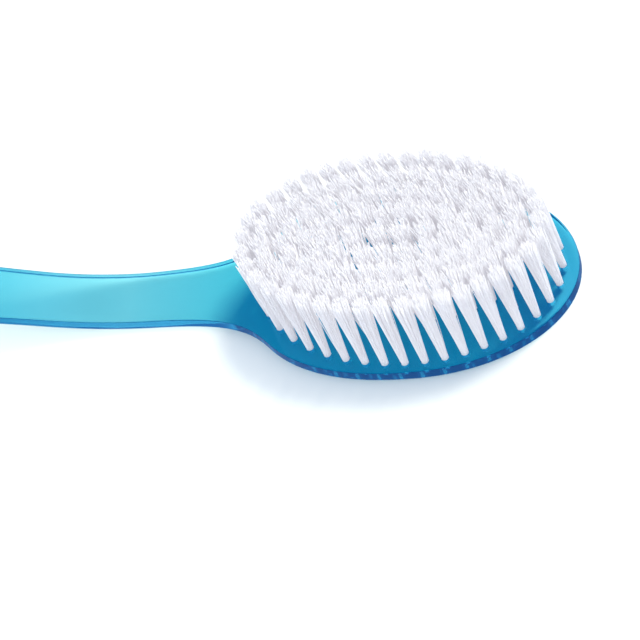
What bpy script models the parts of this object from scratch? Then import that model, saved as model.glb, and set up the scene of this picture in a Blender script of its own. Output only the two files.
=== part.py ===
"""Back bath brush, moulded in one piece of clear tinted plastic, with nylon bristles in its head.

The brush lies on the flat back of its head. +X runs from the handle to the head's tip, +Z is the
way the bristles point, and the origin is in the middle of the head's back. All sizes are in metres.
"""

import math

import bmesh
import bpy
from mathutils import Matrix, Vector

# The moulding: an oval head, a neck and a long handle of one thickness
HEAD_LENGTH = 0.1012
HEAD_WIDTH = 0.0637
BODY_THICKNESS = 0.0050
RIM_ROUNDING = 0.0006
TIP_SQUARENESS = 2.0
NECK_SQUARENESS = 2.33
NECK_START_SHARE = 0.87
WAIST_WIDTH = 0.0165
GRIP_WIDTH = 0.0230

# How far along the handle its features lie, from where the neck leaves the head
BEND_RUN = 0.0354
WAIST_RUN = 0.062
GRIP_RUN = 0.172
HANDLE_RUN = 0.232

# The handle's curve, seen from the side
BEND_RADIUS = 0.101
BEND_ANGLE = math.radians(20)
STRAIGHT_RUN = 0.030
RETURN_RADIUS = 0.450

# The hole that the brush hangs by
HANG_HOLE_DIAMETER = 0.0090
HANG_HOLE_MARGIN = 0.0070

# The tufts: oval rings of bristle bundles, and a straight row in the middle
RING_MARGIN_AT_TIP = 0.0050
RING_MARGIN_AT_SIDE = 0.0034
RING_SPACING_SHARE = 0.238
OUTER_RING_COUNT = 39
INNER_RING_COUNTS = (31, 24, 17)
CENTRE_ROW_COUNT = 6
BRISTLE_HEIGHT = 0.0307
TUFT_SPREAD = 0.0020

# How the tufts' tips gather above the head: as shares of their places from its middle, and a drift along it
TIPS_LENGTH_SHARE = 0.981
TIPS_WIDTH_SHARE = 0.862
TIPS_DRIFT = -0.0012

# A bundle's root, in a drilled blind hole
ROOT_DIAMETER = 0.0023
HOLE_FLOOR = 0.0020
SEAT_GAP = 0.0003

# An inner ring's slice of the head, in a groove
SLICE_MARGIN = 0.00015
SLICE_THICKNESS = 0.0015

# The strands
OUTER_STRANDS = 4
INNER_STRANDS = 3
STRAND_FOOT_DIAMETER = 0.00084
STRAND_TIP_DIAMETER = 0.00165
STRAND_CIRCLE_SHARE = 0.85
STRAND_SINK = 0.0005

# How finely the round parts are divided
TIP_STEPS = 20
SHOULDER_STEPS = 12
HANDLE_STEP = 0.0052
END_STEPS = 7
RIM_STEPS = 3
HOLE_SIDES = 10
HANG_HOLE_SIDES = 28
RING_STEPS = 44
END_ROUND_STEPS = 6
ARC_SAMPLES = 720

# How far a cutter reaches past the face that it cuts, and how close two corners are one
OVERRUN = 0.0010
WELD_DISTANCE = 0.00001
RIM_ANGLE = math.radians(60)

PLASTIC_COLOUR = (0.035, 0.42, 0.66, 1.0)
NYLON_COLOUR = (0.86, 0.87, 0.90, 1.0)


def clear_scene():
    for item in list(bpy.data.objects):
        bpy.data.objects.remove(item, do_unlink=True)


def make_collection(name):
    collection = bpy.data.collections.new(name)
    bpy.context.scene.collection.children.link(collection)
    return collection


def make_material(name, colour, roughness, metallic=0.0):
    material = bpy.data.materials.new(name)
    material.use_nodes = True
    shader = material.node_tree.nodes["Principled BSDF"]
    shader.inputs["Base Color"].default_value = colour
    shader.inputs["Roughness"].default_value = roughness
    shader.inputs["Metallic"].default_value = metallic
    return material


def link_bmesh(bm, name, collection, material=None):
    """Turns a bmesh into a named object in a collection."""
    bmesh.ops.recalc_face_normals(bm, faces=bm.faces)
    mesh = bpy.data.meshes.new(name)
    bm.to_mesh(mesh)
    bm.free()
    if material:
        mesh.materials.append(material)
    item = bpy.data.objects.new(name, mesh)
    collection.objects.link(item)
    return item


def mark_as_cutter(item):
    item.hide_render = True
    item.display_type = "WIRE"
    return item


def add_boolean(item, other, operation):
    modifier = item.modifiers.new(other.name, "BOOLEAN")
    modifier.operation = operation
    modifier.solver = "EXACT"
    modifier.object = other


# The moulding's outline, as half widths along X before the handle is bent

def head_half_width(x):
    squareness = TIP_SQUARENESS if x > 0 else NECK_SQUARENESS
    share = min(abs(x) / (HEAD_LENGTH / 2), 1)
    return HEAD_WIDTH / 2 * (1 - share ** squareness) ** (1 / squareness)


def head_slope(x):
    """How fast the head's half width grows towards +X on the neck's side."""
    share = abs(x) / (HEAD_LENGTH / 2)
    narrowing = share ** (NECK_SQUARENESS - 1) * (1 - share ** NECK_SQUARENESS) ** (1 / NECK_SQUARENESS - 1)
    return HEAD_WIDTH / HEAD_LENGTH * narrowing


NECK_START_X = -NECK_START_SHARE * HEAD_LENGTH / 2
BEND_X = NECK_START_X - BEND_RUN
WAIST_X = NECK_START_X - WAIST_RUN
GRIP_X = NECK_START_X - GRIP_RUN
HANDLE_END_X = NECK_START_X - HANDLE_RUN
END_RADIUS = GRIP_WIDTH / 2
END_CENTRE_X = HANDLE_END_X + END_RADIUS


def handle_half_width(x):
    """The neck's flare leaves the head on its tangent and dies out; the grip widens past the waist."""
    flare = head_half_width(NECK_START_X) - WAIST_WIDTH / 2
    fade = flare / head_slope(NECK_START_X)
    neck = flare * math.exp((x - NECK_START_X) / fade)
    share = min(max((WAIST_X - x) / (WAIST_X - GRIP_X), 0), 1)
    grip = (GRIP_WIDTH - WAIST_WIDTH) / 2 * share * share * (3 - 2 * share)
    return WAIST_WIDTH / 2 + neck + grip


def upper_outline():
    """The outline's +Y side from the head's tip to the handle's end, without its two end points."""
    points = []
    for step in range(1, TIP_STEPS + 1):
        x = HEAD_LENGTH / 2 * math.cos(math.pi / 2 * step / TIP_STEPS)
        points.append((x, head_half_width(x)))
    shoulder_turn = math.asin(NECK_START_SHARE)
    for step in range(1, SHOULDER_STEPS + 1):
        x = -HEAD_LENGTH / 2 * math.sin(shoulder_turn * step / SHOULDER_STEPS)
        points.append((x, head_half_width(x)))
    stations = math.ceil((NECK_START_X - END_CENTRE_X) / HANDLE_STEP)
    for step in range(1, stations + 1):
        x = NECK_START_X + (END_CENTRE_X - NECK_START_X) * step / stations
        points.append((x, handle_half_width(x)))
    end_half_width = handle_half_width(END_CENTRE_X)
    for step in range(1, END_STEPS):
        turn = math.pi / 2 * step / END_STEPS
        points.append((END_CENTRE_X - END_RADIUS * math.sin(turn), end_half_width * math.cos(turn)))
    return points


# The handle's bend

def centre_line(run):
    """Where the handle's back lies after a run along it from the bend's start: x, z and slope."""
    bend_run = BEND_RADIUS * BEND_ANGLE
    x, z, slope = BEND_X, 0.0, 0.0
    stretches = ((bend_run, 1 / BEND_RADIUS), (STRAIGHT_RUN, 0.0), (math.inf, -1 / RETURN_RADIUS))
    for length, curvature in stretches:
        part = min(run, length)
        half_turn = part * curvature / 2
        chord = part * math.sin(half_turn) / half_turn if half_turn else part
        x -= chord * math.cos(slope + half_turn)
        z += chord * math.sin(slope + half_turn)
        slope += 2 * half_turn
        run -= part
        if run <= 0:
            break
    return x, z, slope


def bent(point):
    """Moves a point of the straight moulding to where the bent handle holds it."""
    if point.x >= BEND_X:
        return point.copy()
    x, z, slope = centre_line(BEND_X - point.x)
    return Vector((x + point.z * math.sin(slope), point.y, z + point.z * math.cos(slope)))


def inset_outline(outline, inset):
    """The outline moved inward by a distance, square to its run at each corner."""
    moved = []
    for index, (x, y) in enumerate(outline):
        before, after = outline[index - 1], outline[(index + 1) % len(outline)]
        along = Vector((after[0] - before[0], after[1] - before[1])).normalized()
        moved.append((x - along.y * inset, y + along.x * inset))
    return moved


def rim_profile():
    """The rounded edge from the back's flat to the front's, as insets from the outline and heights."""
    lower = []
    for step in range(RIM_STEPS + 1):
        turn = math.pi / 2 * step / RIM_STEPS
        lower.append((RIM_ROUNDING * (1 - math.sin(turn)), RIM_ROUNDING * (1 - math.cos(turn))))
    return lower + [(inset, BODY_THICKNESS - height) for inset, height in reversed(lower)]


def make_moulding(collection, material):
    """The outline, extruded, divided across the handle, rounded at both rims and bent."""
    upper = upper_outline()
    outline = [(HEAD_LENGTH / 2, 0)] + upper + [(HANDLE_END_X, 0)] + [(x, -y) for x, y in reversed(upper)]
    bm = bmesh.new()
    loops = []
    for inset, height in rim_profile():
        loops.append([bm.verts.new((x, y, height)) for x, y in inset_outline(outline, inset)])
    for low, high in zip(loops, loops[1:]):
        for index in range(len(outline)):
            after = (index + 1) % len(outline)
            bm.faces.new((low[index], low[after], high[after], high[index]))
    for loop in (loops[0], loops[-1]):
        bm.faces.new(loop)
        for index in range(TIP_STEPS + SHOULDER_STEPS, len(upper) + 1):
            bmesh.ops.connect_verts(bm, verts=[loop[index], loop[-index]])
    for vert in bm.verts:
        vert.co = bent(vert.co)
    moulding = link_bmesh(bm, "brush_body", collection, material)
    moulding.data.shade_smooth()
    moulding.data.set_sharp_from_angle(angle=RIM_ANGLE)
    return moulding


def make_hang_hole(collection):
    """A cutter square to the bent handle near its end."""
    flat_x = HANDLE_END_X + HANG_HOLE_MARGIN + HANG_HOLE_DIAMETER / 2
    x, z, slope = centre_line(BEND_X - flat_x)
    middle = bent(Vector((flat_x, 0, BODY_THICKNESS / 2)))
    bm = bmesh.new()
    bmesh.ops.create_cone(bm, cap_ends=True, segments=HANG_HOLE_SIDES, radius1=HANG_HOLE_DIAMETER / 2,
                          radius2=HANG_HOLE_DIAMETER / 2, depth=BODY_THICKNESS + 2 * OVERRUN,
                          matrix=Matrix.Translation(middle) @ Matrix.Rotation(slope, 4, "Y"))
    return mark_as_cutter(link_bmesh(bm, "hang_hole_cutter", collection))


# The tufts' places

def evenly_spaced(half_length, half_width, count, first_share=0.0):
    """Points at even steps along an oval, from its +X end, each with its outward direction."""
    samples = [2 * math.pi * step / ARC_SAMPLES for step in range(ARC_SAMPLES + 1)]
    oval = [Vector((half_length * math.cos(turn), half_width * math.sin(turn))) for turn in samples]
    runs = [0.0]
    for start, end in zip(oval, oval[1:]):
        runs.append(runs[-1] + (end - start).length)
    places = []
    sample = 0
    for index in range(count):
        wanted = runs[-1] * (index + first_share) / count
        while runs[sample + 1] < wanted:
            sample += 1
        share = (wanted - runs[sample]) / (runs[sample + 1] - runs[sample])
        turn = samples[sample] + share * (samples[sample + 1] - samples[sample])
        place = Vector((half_length * math.cos(turn), half_width * math.sin(turn), BODY_THICKNESS))
        outward = Vector((half_width * math.cos(turn), half_length * math.sin(turn), 0)).normalized()
        places.append((place, outward))
    return places


def ring_half_sizes(ring):
    """Half the length and half the width of a ring, counted from 0 at the outside."""
    outer_half_width = HEAD_WIDTH / 2 - RING_MARGIN_AT_SIDE
    inward = ring * RING_SPACING_SHARE * outer_half_width
    return HEAD_LENGTH / 2 - RING_MARGIN_AT_TIP - inward, outer_half_width - inward


def centre_row(row_length):
    places = []
    for index in range(CENTRE_ROW_COUNT):
        x = row_length * (index / (CENTRE_ROW_COUNT - 1) - 1 / 2)
        places.append((Vector((x, 0, BODY_THICKNESS)), Vector((1, 0, 0))))
    return places


def tip_place(place):
    """Where the middle of a tuft's tip lies above its foot's place."""
    x = place.x * TIPS_LENGTH_SHARE + TIPS_DRIFT
    return Vector((x, place.y * TIPS_WIDTH_SHARE, place.z + BRISTLE_HEIGHT))


def add_strands(bm, place, outward, count):
    """Adds one bundle's strands: three-sided, thicker at the tip, and spread as they rise."""
    across = Vector((-outward.y, outward.x, 0))
    foot_circle = (ROOT_DIAMETER - STRAND_FOOT_DIAMETER) / 2 * STRAND_CIRCLE_SHARE
    for index in range(count):
        turn = 2 * math.pi * (index + 1 / 2) / count
        aside = outward * math.cos(turn) + across * math.sin(turn)
        foot = place + aside * foot_circle
        tip = tip_place(place) + aside * TUFT_SPREAD
        rise = tip - foot
        foot -= rise * (STRAND_SINK / rise.z)
        rise = tip - foot
        lie = rise.to_track_quat("Z", "Y").to_matrix().to_4x4()
        bmesh.ops.create_cone(bm, cap_ends=True, segments=3, radius1=STRAND_FOOT_DIAMETER / 2,
                              radius2=STRAND_TIP_DIAMETER / 2, depth=rise.length,
                              matrix=Matrix.Translation((foot + tip) / 2) @ lie)


def add_plug(bm, place, diameter, low, high):
    """Adds an upright cylinder between two heights, at a tuft's place."""
    middle = Vector((place.x, place.y, (low + high) / 2))
    bmesh.ops.create_cone(bm, cap_ends=True, segments=HOLE_SIDES, radius1=diameter / 2,
                          radius2=diameter / 2, depth=high - low, matrix=Matrix.Translation(middle))


def make_outer_tufts(collection, workshop, material):
    """One bundle to each drilled hole: its root in the hole and its strands spread above."""
    places = evenly_spaced(*ring_half_sizes(0), OUTER_RING_COUNT)
    holes = bmesh.new()
    for number, (place, outward) in enumerate(places, start=1):
        add_plug(holes, place, ROOT_DIAMETER + 2 * SEAT_GAP, HOLE_FLOOR, BODY_THICKNESS + OVERRUN)
        root = bmesh.new()
        add_plug(root, place, ROOT_DIAMETER, HOLE_FLOOR + SEAT_GAP, BODY_THICKNESS)
        tuft = link_bmesh(root, f"outer_tuft_{number:02d}", collection, material)
        strands = bmesh.new()
        add_strands(strands, place, outward, OUTER_STRANDS)
        joined = mark_as_cutter(link_bmesh(strands, f"outer_strands_{number:02d}", workshop))
        add_boolean(tuft, joined, "UNION")
    return mark_as_cutter(link_bmesh(holes, "outer_hole_cutters", workshop))


def oval_points(half_length, half_width, offset):
    """An oval's points, moved outward by an offset."""
    points = []
    for place, outward in evenly_spaced(half_length, half_width, RING_STEPS):
        moved = place + outward * offset
        points.append((moved.x, moved.y))
    return points


def slot_points(length, offset):
    """A straight slot with round ends, its outline an offset away from its centre line."""
    points = []
    for side in (1, -1):
        for step in range(END_ROUND_STEPS + 1):
            turn = math.pi * (step / END_ROUND_STEPS - 1 / 2)
            points.append((side * (length / 2 + offset * math.cos(turn)), side * offset * math.sin(turn)))
    return points


def make_band(name, collection, outlines, low, high, material=None):
    """A flat band between two heights, filled between its outlines."""
    curve = bpy.data.curves.new(name, "CURVE")
    curve.dimensions = "2D"
    curve.fill_mode = "BOTH"
    curve.extrude = (high - low) / 2
    for outline in outlines:
        spline = curve.splines.new("POLY")
        spline.points.add(len(outline) - 1)
        for point, (x, y) in zip(spline.points, outline):
            point.co = (x, y, 0, 1)
        spline.use_cyclic_u = True
    drawn = bpy.data.objects.new(f"{name}_outline", curve)
    bpy.context.scene.collection.objects.link(drawn)
    mesh = bpy.data.meshes.new_from_object(drawn.evaluated_get(bpy.context.evaluated_depsgraph_get()))
    bpy.data.objects.remove(drawn, do_unlink=True)
    bm = bmesh.new()
    bm.from_mesh(mesh)
    bpy.data.meshes.remove(mesh)
    bmesh.ops.remove_doubles(bm, verts=bm.verts, dist=WELD_DISTANCE)
    bmesh.ops.translate(bm, verts=bm.verts, vec=(0, 0, (low + high) / 2))
    return link_bmesh(bm, name, collection, material)


def make_seated_ring(name, collection, workshop, material, places, outlines_at):
    """Strands fused to their slice of the head, and the cutter of the groove that holds the slice."""
    reach = ROOT_DIAMETER / 2 + SLICE_MARGIN
    floor = BODY_THICKNESS - SLICE_THICKNESS
    band = make_band(name, collection, outlines_at(reach), floor, BODY_THICKNESS, material)
    strands = bmesh.new()
    for place, outward in places:
        add_strands(strands, place, outward, INNER_STRANDS)
    joined = mark_as_cutter(link_bmesh(strands, f"{name}_strands", workshop))
    add_boolean(band, joined, "UNION")
    groove = make_band(f"{name}_groove_cutter", workshop, outlines_at(reach + SEAT_GAP),
                       floor - SEAT_GAP, BODY_THICKNESS + OVERRUN)
    return mark_as_cutter(groove)


def make_inner_tufts(collection, workshop, material):
    """The inner rings and the centre row, and the cutters of their grooves."""
    grooves = []
    names = ("second_ring_tufts", "third_ring_tufts", "fourth_ring_tufts")
    for ring, (name, count) in enumerate(zip(names, INNER_RING_COUNTS), start=1):
        sizes = ring_half_sizes(ring)

        def outlines_at(offset, sizes=sizes):
            return [oval_points(*sizes, offset), oval_points(*sizes, -offset)]

        places = evenly_spaced(*sizes, count, first_share=ring % 2 / 2)
        grooves.append(make_seated_ring(name, collection, workshop, material, places, outlines_at))

    row_length = 2 * ring_half_sizes(len(names) + 1)[0]

    def row_outlines(offset):
        return [slot_points(row_length, offset)]

    grooves.append(make_seated_ring("centre_row_tufts", collection, workshop, material,
                                    centre_row(row_length), row_outlines))
    return grooves


def main():
    clear_scene()
    parts = make_collection("back_bath_brush")
    workshop = make_collection("cutters")
    plastic = make_material("clear_blue_plastic", PLASTIC_COLOUR, 0.15)
    nylon = make_material("white_nylon", NYLON_COLOUR, 0.45)
    moulding = make_moulding(parts, plastic)
    add_boolean(moulding, make_hang_hole(workshop), "DIFFERENCE")
    add_boolean(moulding, make_outer_tufts(parts, workshop, nylon), "DIFFERENCE")
    for groove in make_inner_tufts(parts, workshop, nylon):
        add_boolean(moulding, groove, "DIFFERENCE")


main()
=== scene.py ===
import math

import bmesh
import bpy
import numpy as np
from mathutils import Matrix, Vector


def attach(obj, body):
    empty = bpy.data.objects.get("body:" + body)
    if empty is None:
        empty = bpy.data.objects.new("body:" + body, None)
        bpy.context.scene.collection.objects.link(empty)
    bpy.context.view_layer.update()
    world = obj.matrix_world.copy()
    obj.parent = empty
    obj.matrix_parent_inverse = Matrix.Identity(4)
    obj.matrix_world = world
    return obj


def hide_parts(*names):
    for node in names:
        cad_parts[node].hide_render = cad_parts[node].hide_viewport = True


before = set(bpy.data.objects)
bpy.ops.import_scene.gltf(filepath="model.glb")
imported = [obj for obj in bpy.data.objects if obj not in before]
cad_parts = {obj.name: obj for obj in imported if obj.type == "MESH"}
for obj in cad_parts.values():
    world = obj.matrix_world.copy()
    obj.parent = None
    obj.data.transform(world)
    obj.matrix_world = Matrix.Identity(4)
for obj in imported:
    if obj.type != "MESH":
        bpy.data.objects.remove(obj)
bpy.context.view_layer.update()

# The view of the picture: where the camera stands round the head, and where the head's middle shows
IMAGE_SIDE = 640
SENSOR_WIDTH = 36.0
VIEW_AZIMUTH = math.radians(25.762)
VIEW_ELEVATION = math.radians(59.986)
VIEW_ROLL = math.radians(27.013)
VIEW_DISTANCE = 1.06994
VIEW_CLIP = (0.01, 20.0)
FOCAL_PIXELS = 3573.7
HEAD_MIDDLE_IN_IMAGE = (415.13, 283.57)

# The moulding: an oval head, a neck and a long handle of one thickness
HEAD_LENGTH = 0.1012
HEAD_WIDTH = 0.0637
BODY_THICKNESS = 0.0050
RIM_ROUNDING = 0.0006
TIP_SQUARENESS = 2.0
NECK_SQUARENESS = 2.33
NECK_START_SHARE = 0.87
WAIST_WIDTH = 0.0165
GRIP_WIDTH = 0.0230
BEND_RUN = 0.0354
WAIST_RUN = 0.062
GRIP_RUN = 0.172
HANDLE_RUN = 0.232
BEND_RADIUS = 0.101
BEND_ANGLE = math.radians(20)
STRAIGHT_RUN = 0.030
RETURN_RADIUS = 0.450
HANG_HOLE_DIAMETER = 0.0090
HANG_HOLE_MARGIN = 0.0070
HANG_HOLE_ROUNDING = 0.0009

# The tufts: their rings, their holes, and where their tips stand over them
RING_MARGIN_AT_TIP = 0.0050
RING_MARGIN_AT_SIDE = 0.0034
RING_SPACING_SHARE = 0.238
RING_COUNTS = (39, 31, 24, 17)
CENTRE_ROW_COUNT = 6
HOLE_DIAMETER = 0.0026
HOLE_FLOOR = 0.0020
BRISTLE_HEIGHT = 0.0307
TIPS_LENGTH_SHARE = 0.981
TIPS_WIDTH_SHARE = 0.862
TIPS_DRIFT = -0.0012

# The filaments of a tuft, and the metal anchor that holds them
FILAMENTS = 120
FILAMENT_DIAMETER = 0.00026
FILAMENT_SECTIONS = 7
FILAMENT_END_SHARE = 0.86
FILAMENT_POINT_SHARE = 0.35
ROOT_RADIUS = 0.00105
ROOT_LIFT = 0.0002
ANCHOR_SIZE = (0.0027, 0.00034, 0.0012)
ANCHOR_LIFT = 0.0009
ANCHOR_ROUNDING = 0.0001
ANCHOR_ROUNDING_STEPS = 2

# How far a tuft's tips spread: the radius, its scatter and its limit as shares of it
OUTER_TIPS = (0.0028, 0.08, 1.15)
INNER_TIPS = (0.0036, 0.13, 1.30)
TIPS_FILL = 0.94
TIPS_DOME = 0.0006
SPREAD_CURVE = 0.2

# What makes each tuft and filament a little different
SEED = 41
TUFT_LEAN = 0.00022
TWIST_SCATTER = 0.20
TALLEST_EXTRA = 0.0003
HEIGHT_SCATTER = 0.0007
SWAY_SCATTER = 0.00016
DIAMETER_SCATTER = 0.07

# The clear plastic: its tint from the handle to the head's tip, with the ramp's two ends first. This tint
# holds painted shade: lightest at the neck, deeper at the handle's far end, over the head and at its tip
TINT_AND_SHADE_START = 0.125
TINT_AND_SHADE_LENGTH = 0.170
TINT_AND_PAINTED_SHADE_STOPS = (
    (0.0, (0.165, 0.66, 0.73, 1)),
    (1.0, (0.115, 0.70, 0.90, 1)),
    (0.218, (0.42, 1.0, 1.0, 1)),
    (0.5, (0.115, 0.94, 1.0, 1)),
    (0.853, (0.115, 0.94, 1.0, 1)))
DEPTH_TINT = (0.6, 0.80, 0.86, 1)
DEPTH_DENSITY = 160
MIRROR_TINT = (0.2, 0.55, 1.0, 1)
# A faint painted glow of blue light that lightens the plastic's shaded parts, though it is no lamp
PLASTIC_PAINTED_GLOW = (0.0, 0.33, 1.0, 1)
PLASTIC_PAINTED_GLOW_STRENGTH = 0.055
PLASTIC_ROUGHNESS = 0.035
PLASTIC_WEAR = 0.03
PLASTIC_IOR = 1.52

# Painted shade on its side walls: a deeper tint where the surface turns sideways, and how far a normal points
# up or down where that shade starts and is full
WALL_PAINTED_SHADE = (0.35, 0.62, 0.80, 1)
WALL_SHADE_STARTS_AT = 0.90
WALL_SHADE_FULL_AT = 0.50

# The white nylon
NYLON_SHADES = ((0.30, (0.825, 0.82, 0.853, 1)), (0.70, (0.865, 0.86, 0.893, 1)))
NYLON_THROUGH = (0.873, 0.865, 0.883, 1)
NYLON_THROUGH_SHARE = 0.45
# A painted glow that lightens the shade between the filaments, though the nylon is no lamp
NYLON_PAINTED_GLOW = (0.975, 0.965, 1.0, 1)
NYLON_PAINTED_GLOW_STRENGTH = 0.245
NYLON_ROUGHNESS = 0.45
NYLON_SPECULAR = 0.25
NYLON_IOR = 1.53

# The anchors' steel
STEEL_COLOUR = (0.62, 0.61, 0.58, 1)
STEEL_ROUGHNESS = 0.25
STEEL_WEAR = 0.3

# The fine patterns in the finishes, each as a noise's scale and detail, and the ripples' depth
PLASTIC_RIPPLES = (55, 1.0)
PLASTIC_HANDLING = (900, 4.0)
NYLON_STREAKS = (700, 2.0)
STEEL_GRAIN = (2600, 3.0)
FLOOR_FLECKS = (14, 3.0)
RIPPLE_DEPTH = 0.0012
RIPPLE_STRENGTH = 0.16

# The studio: even air, a key light from above and behind, what the plastic mirrors, and the floor
AIR_COLOUR = (1.18, 1.34, 1.50, 1)
ROOM_COLOUR = (0.2, 0.3, 0.5, 1)
WINDOW_WAY = (0.50, 0.45, 0.74)
WINDOW_COLOUR = (1.2, 1.2, 1.2, 1)
WINDOW_INNER = math.radians(6)
WINDOW_OUTER = math.radians(26)
KEY_WAY = (0.31, 0.38, 0.87)
KEY_DISTANCE = 1.4
KEY_SIZE = (0.35, 0.35)
KEY_WATTS = 20.0
KEY_COLOUR = (1.0, 0.95, 0.76)
FLOOR_SHADES = ((0.30, (0.69, 0.69, 0.69, 1)), (0.70, (0.705, 0.705, 0.705, 1)))
FLOOR_RADIUS = 3.0
FLOOR_DROP = 0.0003

# How finely the round parts are divided
TIP_STEPS = 60
SHOULDER_STEPS = 36
HANDLE_STEP = 0.0020
END_STEPS = 20
RIM_STEPS = 10
HOLE_SIDES = 24
HANG_HOLE_SIDES = 64
FILLET_STEPS = 6
FLOOR_SIDES = 96
ARC_SAMPLES = 720

# How far a cutter reaches past what it cuts, and the least angle of an edge that is shaded as sharp
OVERRUN = 0.0010
SHARP_ANGLE = math.radians(38)

# Socket numbers of Blender's Mix node when it mixes colours
MIX_FACTOR, MIX_FIRST, MIX_SECOND, MIX_RESULT = 0, 6, 7, 2


# Finishes

class Value:
    """A node's output. Sums and products of it add Math nodes."""

    def __init__(self, finish, socket):
        self.finish = finish
        self.socket = socket

    def __add__(self, other):
        return self.finish.maths("ADD", self, other)

    def __mul__(self, other):
        return self.finish.maths("MULTIPLY", self, other)

    __radd__ = __add__
    __rmul__ = __mul__


class Finish:
    """A material, and the one way to add nodes to it."""

    def __init__(self, name):
        self.material = bpy.data.materials.new(name)
        self.material.use_nodes = True
        self.tree = self.material.node_tree
        self.tree.nodes.clear()

    def add(self, kind, settings=None, inputs=None, output=0):
        """Adds a node with these properties and inputs, and returns the output asked for."""
        node = self.tree.nodes.new(kind)
        for name, setting in (settings or {}).items():
            if name == "stops":
                for number, (place, colour) in enumerate(setting):
                    stops = node.color_ramp.elements
                    stop = stops[number] if number < 2 else stops.new(place)
                    stop.position = place
                    stop.color = colour
            else:
                setattr(node, name, setting)
        for name, value in (inputs or {}).items():
            if isinstance(value, Value):
                self.tree.links.new(value.socket, node.inputs[name])
            else:
                node.inputs[name].default_value = value
        return Value(self, node.outputs[output]) if len(node.outputs) else None

    def maths(self, operation, first, second=0.0):
        return self.add("ShaderNodeMath", {"operation": operation}, {0: first, 1: second})

    def noise(self, place, scale, detail):
        return self.add("ShaderNodeTexNoise", None, {"Vector": place, "Scale": scale, "Detail": detail})


def clear_blue_plastic():
    """Tinted at its surface and a little in its depth, with painted shade in the tint and a painted glow.
    Shadow rays skip the surface: the shadow is pale.
    """
    finish = Finish("clear_blue_plastic")
    place = finish.add("ShaderNodeTexCoord", output="Object")
    ripple = finish.noise(place, *PLASTIC_RIPPLES)
    handling = finish.noise(place, *PLASTIC_HANDLING)
    roughness = PLASTIC_ROUGHNESS + handling * PLASTIC_WEAR
    bump = finish.add("ShaderNodeBump", None, {
        "Strength": RIPPLE_STRENGTH, "Distance": RIPPLE_DEPTH, "Height": ripple})
    along = finish.add("ShaderNodeSeparateXYZ", None, {"Vector": place}, "X")
    # The plastic's tint along its length, with painted shade: lightest at the neck, deeper at the handle's
    # far end, over the head and at its tip
    length_tint_with_painted_shade = finish.add("ShaderNodeValToRGB", {"stops": TINT_AND_PAINTED_SHADE_STOPS}, {
        "Fac": (along + TINT_AND_SHADE_START) * (1 / TINT_AND_SHADE_LENGTH)})
    facing = finish.add("ShaderNodeTexCoord", output="Normal")
    flatness = finish.maths("ABSOLUTE", finish.add("ShaderNodeSeparateXYZ", None, {"Vector": facing}, "Z"))
    # Painted shade: side walls, where the normal turns away from up or down, get a deeper tint
    wall_shade_mask = finish.add("ShaderNodeMapRange", None, {
        "Value": flatness, "From Min": WALL_SHADE_STARTS_AT, "From Max": WALL_SHADE_FULL_AT})
    tint_with_painted_shade = finish.add("ShaderNodeMix", {"data_type": "RGBA", "blend_type": "MULTIPLY"}, {
        MIX_FACTOR: wall_shade_mask, MIX_FIRST: length_tint_with_painted_shade, MIX_SECOND: WALL_PAINTED_SHADE}, MIX_RESULT)
    # Its emission is a painted glow that lightens the plastic's shaded parts
    shader = finish.add("ShaderNodeBsdfPrincipled", None, {
        "Base Color": tint_with_painted_shade, "Roughness": roughness, "IOR": PLASTIC_IOR,
        "Transmission Weight": 1.0, "Specular Tint": MIRROR_TINT, "Normal": bump,
        "Emission Color": PLASTIC_PAINTED_GLOW, "Emission Strength": PLASTIC_PAINTED_GLOW_STRENGTH})
    clear = finish.add("ShaderNodeBsdfTransparent", None, {"Color": (1.0, 1.0, 1.0, 1)})
    is_shadow = finish.add("ShaderNodeLightPath", output="Is Shadow Ray")
    surface = finish.add("ShaderNodeMixShader", None, {0: is_shadow, 1: shader, 2: clear})
    depth = finish.add("ShaderNodeVolumeAbsorption", None, {"Color": DEPTH_TINT, "Density": DEPTH_DENSITY})
    finish.add("ShaderNodeOutputMaterial", None, {"Surface": surface, "Volume": depth})
    return finish.material


def white_nylon():
    """Milky filament: a good half of the light scatters at it, and the rest goes through. A painted glow
    lightens the shade between the filaments.
    """
    finish = Finish("white_nylon")
    place = finish.add("ShaderNodeTexCoord", output="Object")
    streak = finish.noise(place, *NYLON_STREAKS)
    colour = finish.add("ShaderNodeValToRGB", {"stops": NYLON_SHADES}, {"Fac": streak})
    # Its emission is a painted glow that lightens the shade between the filaments
    shader = finish.add("ShaderNodeBsdfPrincipled", None, {
        "Base Color": colour, "Roughness": NYLON_ROUGHNESS, "IOR": NYLON_IOR,
        "Specular IOR Level": NYLON_SPECULAR,
        "Emission Color": NYLON_PAINTED_GLOW, "Emission Strength": NYLON_PAINTED_GLOW_STRENGTH})
    through = finish.add("ShaderNodeBsdfTranslucent", None, {"Color": NYLON_THROUGH})
    milky = finish.add("ShaderNodeMixShader", None, {0: NYLON_THROUGH_SHARE, 1: shader, 2: through})
    finish.add("ShaderNodeOutputMaterial", None, {"Surface": milky})
    return finish.material


def anchor_steel():
    finish = Finish("anchor_steel")
    place = finish.add("ShaderNodeTexCoord", output="Object")
    grain = finish.noise(place, *STEEL_GRAIN)
    shader = finish.add("ShaderNodeBsdfPrincipled", None, {
        "Base Color": STEEL_COLOUR, "Metallic": 1.0, "Roughness": STEEL_ROUGHNESS + grain * STEEL_WEAR})
    finish.add("ShaderNodeOutputMaterial", None, {"Surface": shader})
    return finish.material


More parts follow.
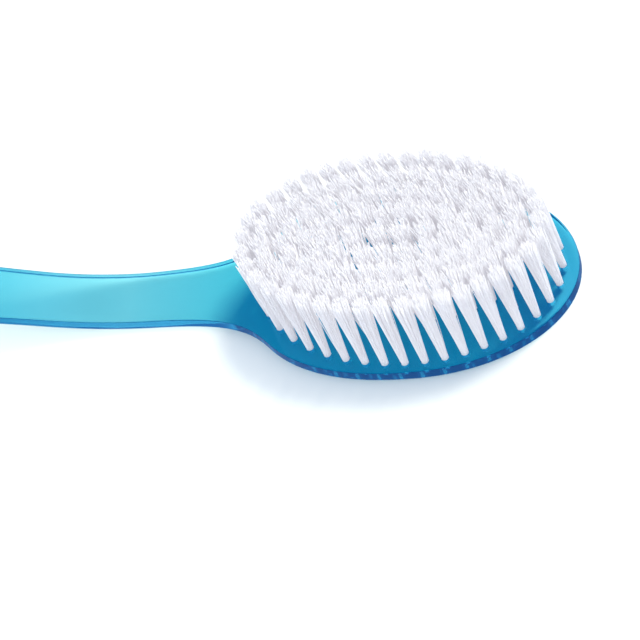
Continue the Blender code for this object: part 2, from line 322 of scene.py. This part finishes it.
def floor_white():
    finish = Finish("floor_white")
    place = finish.add("ShaderNodeTexCoord", output="Object")
    fleck = finish.noise(place, *FLOOR_FLECKS)
    colour = finish.add("ShaderNodeValToRGB", {"stops": FLOOR_SHADES}, {"Fac": fleck})
    shader = finish.add("ShaderNodeBsdfPrincipled", None, {
        "Base Color": colour, "Roughness": 1.0, "Specular IOR Level": 0.0})
    finish.add("ShaderNodeOutputMaterial", None, {"Surface": shader})
    return finish.material


# Pieces

def make_piece(name, mesh, material):
    mesh.materials.clear()
    mesh.materials.append(material)
    piece = bpy.data.objects.new(name, mesh)
    bpy.context.scene.collection.objects.link(piece)
    return piece


def mesh_of(bm, name):
    bmesh.ops.recalc_face_normals(bm, faces=bm.faces)
    mesh = bpy.data.meshes.new(name)
    bm.to_mesh(mesh)
    bm.free()
    return mesh


def head_half_width(x):
    squareness = TIP_SQUARENESS if x > 0 else NECK_SQUARENESS
    share = min(abs(x) / (HEAD_LENGTH / 2), 1)
    return HEAD_WIDTH / 2 * (1 - share ** squareness) ** (1 / squareness)


def head_slope(x):
    """How fast the head's half width grows towards +X on the neck's side."""
    share = abs(x) / (HEAD_LENGTH / 2)
    narrowing = share ** (NECK_SQUARENESS - 1) * (1 - share ** NECK_SQUARENESS) ** (1 / NECK_SQUARENESS - 1)
    return HEAD_WIDTH / HEAD_LENGTH * narrowing


NECK_START_X = -NECK_START_SHARE * HEAD_LENGTH / 2
BEND_X = NECK_START_X - BEND_RUN
WAIST_X = NECK_START_X - WAIST_RUN
GRIP_X = NECK_START_X - GRIP_RUN
HANDLE_END_X = NECK_START_X - HANDLE_RUN
END_RADIUS = GRIP_WIDTH / 2
END_CENTRE_X = HANDLE_END_X + END_RADIUS


def handle_half_width(x):
    """The neck's flare leaves the head on its tangent and dies out; the grip widens past the waist."""
    flare = head_half_width(NECK_START_X) - WAIST_WIDTH / 2
    fade = flare / head_slope(NECK_START_X)
    neck = flare * math.exp((x - NECK_START_X) / fade)
    share = min(max((WAIST_X - x) / (WAIST_X - GRIP_X), 0), 1)
    grip = (GRIP_WIDTH - WAIST_WIDTH) / 2 * share * share * (3 - 2 * share)
    return WAIST_WIDTH / 2 + neck + grip


def upper_outline():
    """The outline's +Y side from the head's tip to the handle's end, without its two end points."""
    points = []
    for step in range(1, TIP_STEPS + 1):
        x = HEAD_LENGTH / 2 * math.cos(math.pi / 2 * step / TIP_STEPS)
        points.append((x, head_half_width(x)))
    shoulder_turn = math.asin(NECK_START_SHARE)
    for step in range(1, SHOULDER_STEPS + 1):
        x = -HEAD_LENGTH / 2 * math.sin(shoulder_turn * step / SHOULDER_STEPS)
        points.append((x, head_half_width(x)))
    stations = math.ceil((NECK_START_X - END_CENTRE_X) / HANDLE_STEP)
    for step in range(1, stations + 1):
        x = NECK_START_X + (END_CENTRE_X - NECK_START_X) * step / stations
        points.append((x, handle_half_width(x)))
    end_half_width = handle_half_width(END_CENTRE_X)
    for step in range(1, END_STEPS):
        turn = math.pi / 2 * step / END_STEPS
        points.append((END_CENTRE_X - END_RADIUS * math.sin(turn), end_half_width * math.cos(turn)))
    return points


def centre_line(run):
    """Where the handle's back lies after a run along it from the bend's start: x, z and slope."""
    x, z, slope = BEND_X, 0.0, 0.0
    stretches = (
        (BEND_RADIUS * BEND_ANGLE, 1 / BEND_RADIUS),
        (STRAIGHT_RUN, 0.0),
        (math.inf, -1 / RETURN_RADIUS))
    for length, curvature in stretches:
        part = min(run, length)
        half_turn = part * curvature / 2
        chord = part * math.sin(half_turn) / half_turn if half_turn else part
        x -= chord * math.cos(slope + half_turn)
        z += chord * math.sin(slope + half_turn)
        slope += 2 * half_turn
        run -= part
        if run <= 0:
            break
    return x, z, slope


def bent(point):
    """Moves a point of the straight moulding to where the bent handle holds it."""
    if point.x >= BEND_X:
        return point.copy()
    x, z, slope = centre_line(BEND_X - point.x)
    return Vector((x + point.z * math.sin(slope), point.y, z + point.z * math.cos(slope)))


def evenly_spaced(half_length, half_width, count, first_share):
    """Points at even steps along an oval, from its +X end, each with its outward direction."""
    samples = [2 * math.pi * step / ARC_SAMPLES for step in range(ARC_SAMPLES + 1)]
    oval = [Vector((half_length * math.cos(turn), half_width * math.sin(turn))) for turn in samples]
    runs = [0.0]
    for start, end in zip(oval, oval[1:]):
        runs.append(runs[-1] + (end - start).length)
    places = []
    sample = 0
    for index in range(count):
        wanted = runs[-1] * (index + first_share) / count
        while runs[sample + 1] < wanted:
            sample += 1
        share = (wanted - runs[sample]) / (runs[sample + 1] - runs[sample])
        turn = samples[sample] + share * (samples[sample + 1] - samples[sample])
        place = Vector((half_length * math.cos(turn), half_width * math.sin(turn), BODY_THICKNESS))
        outward = Vector((half_width * math.cos(turn), half_length * math.sin(turn), 0)).normalized()
        places.append((place, outward))
    return places


def tuft_places():
    """Each ring's places, and the centre row's last."""
    outer_half_width = HEAD_WIDTH / 2 - RING_MARGIN_AT_SIDE
    rings = []
    for ring, count in enumerate(RING_COUNTS):
        inward = ring * RING_SPACING_SHARE * outer_half_width
        half_length = HEAD_LENGTH / 2 - RING_MARGIN_AT_TIP - inward
        rings.append(evenly_spaced(half_length, outer_half_width - inward, count, ring % 2 / 2))
    inward = len(RING_COUNTS) * RING_SPACING_SHARE * outer_half_width
    row_length = 2 * (HEAD_LENGTH / 2 - RING_MARGIN_AT_TIP - inward)
    row = []
    for index in range(CENTRE_ROW_COUNT):
        x = row_length * (index / (CENTRE_ROW_COUNT - 1) - 1 / 2)
        row.append((Vector((x, 0, BODY_THICKNESS)), Vector((1, 0, 0))))
    return rings + [row]


def hang_hole_cutter():
    """The hole's own shape, turned round its axis, with both its rims rounded."""
    flat_x = HANDLE_END_X + HANG_HOLE_MARGIN + HANG_HOLE_DIAMETER / 2
    slope = centre_line(BEND_X - flat_x)[2]
    middle = bent(Vector((flat_x, 0, BODY_THICKNESS / 2)))
    profile = [(HANG_HOLE_DIAMETER / 2 + HANG_HOLE_ROUNDING, BODY_THICKNESS / 2 + OVERRUN)]
    for step in range(FILLET_STEPS + 1):
        turn = math.pi / 2 * step / FILLET_STEPS
        radius = HANG_HOLE_DIAMETER / 2 + HANG_HOLE_ROUNDING * (1 - math.sin(turn))
        profile.append((radius, BODY_THICKNESS / 2 - HANG_HOLE_ROUNDING * (1 - math.cos(turn))))
    profile += [(radius, -height) for radius, height in reversed(profile)]
    bm = bmesh.new()
    loops = []
    for radius, height in profile:
        turns = [2 * math.pi * side / HANG_HOLE_SIDES for side in range(HANG_HOLE_SIDES)]
        loops.append([bm.verts.new((radius * math.cos(t), radius * math.sin(t), height)) for t in turns])
    for low, high in zip(loops, loops[1:]):
        for side in range(HANG_HOLE_SIDES):
            after = (side + 1) % HANG_HOLE_SIDES
            bm.faces.new((low[side], low[after], high[after], high[side]))
    bm.faces.new(loops[0])
    bm.faces.new(list(reversed(loops[-1])))
    bm.transform(Matrix.Translation(middle) @ Matrix.Rotation(slope, 4, "Y"))
    return mesh_of(bm, "hang_hole_cutter")


def tuft_hole_cutter(places):
    bm = bmesh.new()
    for place, _ in places:
        low, high = HOLE_FLOOR, BODY_THICKNESS + OVERRUN
        middle = Vector((place.x, place.y, (low + high) / 2))
        bmesh.ops.create_cone(bm, cap_ends=True, segments=HOLE_SIDES, radius1=HOLE_DIAMETER / 2,
                              radius2=HOLE_DIAMETER / 2, depth=high - low, matrix=Matrix.Translation(middle))
    return mesh_of(bm, "tuft_hole_cutter")


def inset_outline(outline, inset):
    """The outline moved inward by a distance, square to its run at each corner."""
    moved = []
    for index, (x, y) in enumerate(outline):
        before, after = outline[index - 1], outline[(index + 1) % len(outline)]
        along = Vector((after[0] - before[0], after[1] - before[1])).normalized()
        moved.append((x - along.y * inset, y + along.x * inset))
    return moved


def rim_profile():
    """The rounded edge from the back's flat to the front's, as insets from the outline and heights."""
    lower = []
    for step in range(RIM_STEPS + 1):
        turn = math.pi / 2 * step / RIM_STEPS
        lower.append((RIM_ROUNDING * (1 - math.sin(turn)), RIM_ROUNDING * (1 - math.cos(turn))))
    return lower + [(inset, BODY_THICKNESS - height) for inset, height in reversed(lower)]


def make_moulding(places, material):
    """The outline, extruded, divided across the handle, rounded at both rims, bent and drilled."""
    upper = upper_outline()
    outline = [(HEAD_LENGTH / 2, 0)] + upper + [(HANDLE_END_X, 0)] + [(x, -y) for x, y in reversed(upper)]
    bm = bmesh.new()
    loops = []
    for inset, height in rim_profile():
        loops.append([bm.verts.new((x, y, height)) for x, y in inset_outline(outline, inset)])
    for low, high in zip(loops, loops[1:]):
        for index in range(len(outline)):
            after = (index + 1) % len(outline)
            bm.faces.new((low[index], low[after], high[after], high[index]))
    for loop in (loops[0], loops[-1]):
        bm.faces.new(loop)
        for index in range(TIP_STEPS + SHOULDER_STEPS, len(upper) + 1):
            bmesh.ops.connect_verts(bm, verts=[loop[index], loop[-index]])
    for vert in bm.verts:
        vert.co = bent(vert.co)
    moulding = make_piece("clear_moulding", mesh_of(bm, "clear_moulding"), material)
    cutters = []
    for mesh in (tuft_hole_cutter(places), hang_hole_cutter()):
        cutter = make_piece(mesh.name, mesh, material)
        drill = moulding.modifiers.new(mesh.name, "BOOLEAN")
        drill.operation = "DIFFERENCE"
        drill.solver = "EXACT"
        drill.object = cutter
        cutters.append(cutter)
    drilled = bpy.data.meshes.new_from_object(moulding.evaluated_get(bpy.context.evaluated_depsgraph_get()))
    moulding.modifiers.clear()
    moulding.data = drilled
    for cutter in cutters:
        bpy.data.objects.remove(cutter, do_unlink=True)
    drilled.shade_smooth()
    drilled.set_sharp_from_angle(angle=SHARP_ANGLE)
    even = moulding.modifiers.new("flat_faces_stay_flat", "WEIGHTED_NORMAL")
    even.keep_sharp = True
    return moulding


def make_tufts(name, places, tips, chance, material):
    """Every filament of a ring: three-sided, closed at both ends, packed in its hole and spread above it."""
    tip_radius, tip_scatter, tip_limit = tips
    count = len(places) * FILAMENTS
    place = np.repeat(np.array([tuple(spot) for spot, _ in places]), FILAMENTS, axis=0)
    outward = np.repeat(np.array([tuple(way) for _, way in places]), FILAMENTS, axis=0)
    across = np.stack([-outward[:, 1], outward[:, 0], np.zeros(count)], axis=1)
    lean = np.repeat(chance.normal(0, TUFT_LEAN, (len(places), 2)), FILAMENTS, axis=0)
    order = np.tile(np.arange(FILAMENTS), len(places)) + 0.5
    root_share = np.sqrt(order / FILAMENTS)
    golden_angle = math.pi * (3 - math.sqrt(5))
    turn = order * golden_angle + np.repeat(chance.uniform(0, 2 * math.pi, len(places)), FILAMENTS)
    tip_turn = turn + chance.normal(0, TWIST_SCATTER, count)
    tip_share = np.clip(root_share * TIPS_FILL + chance.normal(0, tip_scatter, count), 0, tip_limit)
    root = ROOT_RADIUS * root_share
    tip = tip_radius * tip_share
    shortfall = np.abs(chance.normal(0, HEIGHT_SCATTER, count))
    rise = BRISTLE_HEIGHT + TALLEST_EXTRA - shortfall - TIPS_DOME * tip_share ** 2
    sway_turn = chance.uniform(0, 2 * math.pi, count)
    sway = chance.normal(0, SWAY_SCATTER, count)

    def aside(angle, distance):
        return (outward * np.cos(angle)[:, None] + across * np.sin(angle)[:, None]) * distance[:, None]

    foot_offset = aside(turn, root)
    drawn_in = np.array((TIPS_LENGTH_SHARE - 1, TIPS_WIDTH_SHARE - 1, 0))
    gathering = place * drawn_in + np.array((TIPS_DRIFT, 0, 0))
    tip_offset = aside(tip_turn, tip) + gathering + outward * lean[:, :1] + across * lean[:, 1:]
    foot_depth = HOLE_FLOOR + ROOT_LIFT - BODY_THICKNESS
    shares = [0] + list(np.linspace(0, 1, FILAMENT_SECTIONS - 1))
    corners = []
    radius = FILAMENT_DIAMETER / 2 * (1 + chance.normal(0, DIAMETER_SCATTER, count))
    for number, share in enumerate(shares):
        spread = (1 - SPREAD_CURVE) * share + SPREAD_CURVE * share * share
        middle = place + foot_offset + (tip_offset - foot_offset) * spread
        middle[:, 2] += rise * share if number else foot_depth
        middle += aside(sway_turn, sway * math.sin(math.pi * share))
        slim = FILAMENT_END_SHARE if number == len(shares) - 1 else 1.0
        for corner in range(3):
            angle = turn + 2 * math.pi * corner / 3
            corners.append(middle + aside(angle, radius * slim))
    apex = place + tip_offset
    apex[:, 2] += rise + FILAMENT_DIAMETER * FILAMENT_POINT_SHARE
    corners.append(apex)
    points_each = len(corners)
    points = np.stack(corners, axis=1).reshape(-1, 3)
    pattern = []
    for section in range(len(shares) - 1):
        for corner in range(3):
            after = (corner + 1) % 3
            low, high = section * 3, section * 3 + 3
            pattern.append((low + corner, low + after, high + after, high + corner))
    top = (len(shares) - 1) * 3
    caps = [(2, 1, 0)] + [(top + corner, top + (corner + 1) % 3, points_each - 1) for corner in range(3)]
    starts = np.arange(count)[:, None] * points_each
    quads = (starts[:, :, None] + np.array(pattern)[None]).reshape(-1, 4)
    triangles = (starts[:, :, None] + np.array(caps)[None]).reshape(-1, 3)
    mesh = bpy.data.meshes.new(name)
    mesh.from_pydata(points.tolist(), [], quads.tolist() + triangles.tolist())
    mesh.shade_smooth()
    return make_piece(name, mesh, material)


def make_anchors(places, material):
    """Flat wires across the holes' floors, one at the foot of each tuft's filaments."""
    bm = bmesh.new()
    for place, _ in places:
        wire = bmesh.ops.create_cube(bm, size=1.0)["verts"]
        bmesh.ops.scale(bm, verts=wire, vec=ANCHOR_SIZE)
        bmesh.ops.translate(bm, verts=wire, vec=(place.x, place.y, HOLE_FLOOR + ANCHOR_LIFT))
    bmesh.ops.bevel(bm, geom=bm.edges[:], offset=ANCHOR_ROUNDING, segments=ANCHOR_ROUNDING_STEPS, profile=0.5,
                    affect="EDGES")
    mesh = mesh_of(bm, "tuft_anchors")
    mesh.shade_smooth()
    return make_piece("tuft_anchors", mesh, material)


# Stage

def make_camera():
    """Looks past the head's middle by as much as the picture has it off its own middle."""
    azimuth, elevation, roll = VIEW_AZIMUTH, VIEW_ELEVATION, VIEW_ROLL
    back = Vector((math.sin(azimuth) * math.cos(elevation), -math.cos(azimuth) * math.cos(elevation),
                   math.sin(elevation)))
    level = Vector((math.cos(azimuth), math.sin(azimuth), 0))
    upright = back.cross(level)
    right = level * math.cos(roll) - upright * math.sin(roll)
    up = level * math.sin(roll) + upright * math.cos(roll)
    metres_per_pixel = VIEW_DISTANCE / FOCAL_PIXELS
    aside = (HEAD_MIDDLE_IN_IMAGE[0] - IMAGE_SIDE / 2) * metres_per_pixel
    below = (HEAD_MIDDLE_IN_IMAGE[1] - IMAGE_SIDE / 2) * metres_per_pixel
    place = back * VIEW_DISTANCE - right * aside + up * below
    lens = bpy.data.cameras.new("camera")
    lens.sensor_width = SENSOR_WIDTH
    lens.lens = FOCAL_PIXELS / IMAGE_SIDE * SENSOR_WIDTH
    lens.clip_start, lens.clip_end = VIEW_CLIP
    camera = bpy.data.objects.new("camera", lens)
    turn = Matrix((right, up, back)).transposed().to_4x4()
    camera.matrix_world = Matrix.Translation(place) @ turn
    bpy.context.scene.collection.objects.link(camera)
    bpy.context.scene.camera = camera


def make_light(name, direction, distance, size, watts, colour):
    lamp = bpy.data.lights.new(name, "AREA")
    lamp.shape = "RECTANGLE"
    lamp.size, lamp.size_y = size
    lamp.energy = watts
    lamp.color = colour
    light = bpy.data.objects.new(name, lamp)
    way = Vector(direction).normalized()
    light.matrix_world = Matrix.Translation(way * distance) @ way.to_track_quat("Z", "Y").to_matrix().to_4x4()
    bpy.context.scene.collection.objects.link(light)
    return light


def make_floor(material):
    """A round white table just under the brush, which the plastic doesn't mirror."""
    bm = bmesh.new()
    bmesh.ops.create_circle(bm, cap_ends=True, segments=FLOOR_SIDES, radius=FLOOR_RADIUS)
    bmesh.ops.translate(bm, verts=bm.verts, vec=(0, 0, -FLOOR_DROP))
    floor = make_piece("floor", mesh_of(bm, "floor"), material)
    floor.visible_glossy = False


def sky_lobe(tree, direction, inner, outer):
    """One where a direction is near the given one, falling softly to zero away from it."""
    way = tree.nodes.new("ShaderNodeTexCoord")
    dot = tree.nodes.new("ShaderNodeVectorMath")
    dot.operation = "DOT_PRODUCT"
    dot.inputs[1].default_value = Vector(direction).normalized()
    tree.links.new(way.outputs["Generated"], dot.inputs[0])
    lobe = tree.nodes.new("ShaderNodeMapRange")
    lobe.interpolation_type = "SMOOTHSTEP"
    lobe.inputs["From Min"].default_value = math.cos(outer)
    lobe.inputs["From Max"].default_value = math.cos(inner)
    tree.links.new(dot.outputs["Value"], lobe.inputs["Value"])
    return lobe.outputs["Result"]


def sky_mix(tree, factor, first, second):
    mix = tree.nodes.new("ShaderNodeMix")
    mix.data_type = "RGBA"
    tree.links.new(factor, mix.inputs[MIX_FACTOR])
    for number, colour in ((MIX_FIRST, first), (MIX_SECOND, second)):
        if isinstance(colour, bpy.types.NodeSocket):
            tree.links.new(colour, mix.inputs[number])
        else:
            mix.inputs[number].default_value = colour
    return mix.outputs[MIX_RESULT]


def light_scene():
    """Even light from all round; in reflections, a dim room with a large soft window."""
    world = bpy.data.worlds.new("studio")
    bpy.context.scene.world = world
    world.use_nodes = True
    tree = world.node_tree
    room = sky_mix(tree, sky_lobe(tree, WINDOW_WAY, WINDOW_INNER, WINDOW_OUTER), ROOM_COLOUR, WINDOW_COLOUR)
    path = tree.nodes.new("ShaderNodeLightPath")
    tree.links.new(sky_mix(tree, path.outputs["Is Glossy Ray"], AIR_COLOUR, room),
                   tree.nodes["Background"].inputs["Color"])
    key = make_light("key", KEY_WAY, KEY_DISTANCE, KEY_SIZE, KEY_WATTS, KEY_COLOUR)
    key.visible_glossy = False
    key.visible_transmission = False
    bpy.context.scene.view_settings.view_transform = "Standard"


def main():
    make_camera()
    plastic, nylon, steel = clear_blue_plastic(), white_nylon(), anchor_steel()
    rings = tuft_places()
    everywhere = [place for ring in rings for place in ring]
    moulding = make_moulding(everywhere, plastic)
    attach(moulding, "root")
    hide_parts("brush_body")
    outer_nodes = [f"outer_tuft_{number:02d}" for number in range(1, RING_COUNTS[0] + 1)]
    groups = (
        ("outer_bristles", OUTER_TIPS, outer_nodes),
        ("second_bristles", INNER_TIPS, ["second_ring_tufts"]),
        ("third_bristles", INNER_TIPS, ["third_ring_tufts"]),
        ("fourth_bristles", INNER_TIPS, ["fourth_ring_tufts"]),
        ("centre_bristles", INNER_TIPS, ["centre_row_tufts"]))
    chance = np.random.default_rng(SEED)
    for ring, (name, tips, nodes) in zip(rings, groups):
        tufts = make_tufts(name, ring, tips, chance, nylon)
        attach(tufts, "root")
        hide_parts(*nodes)
    anchors = make_anchors(everywhere, steel)
    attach(anchors, "root")
    make_floor(floor_white())
    light_scene()


main()
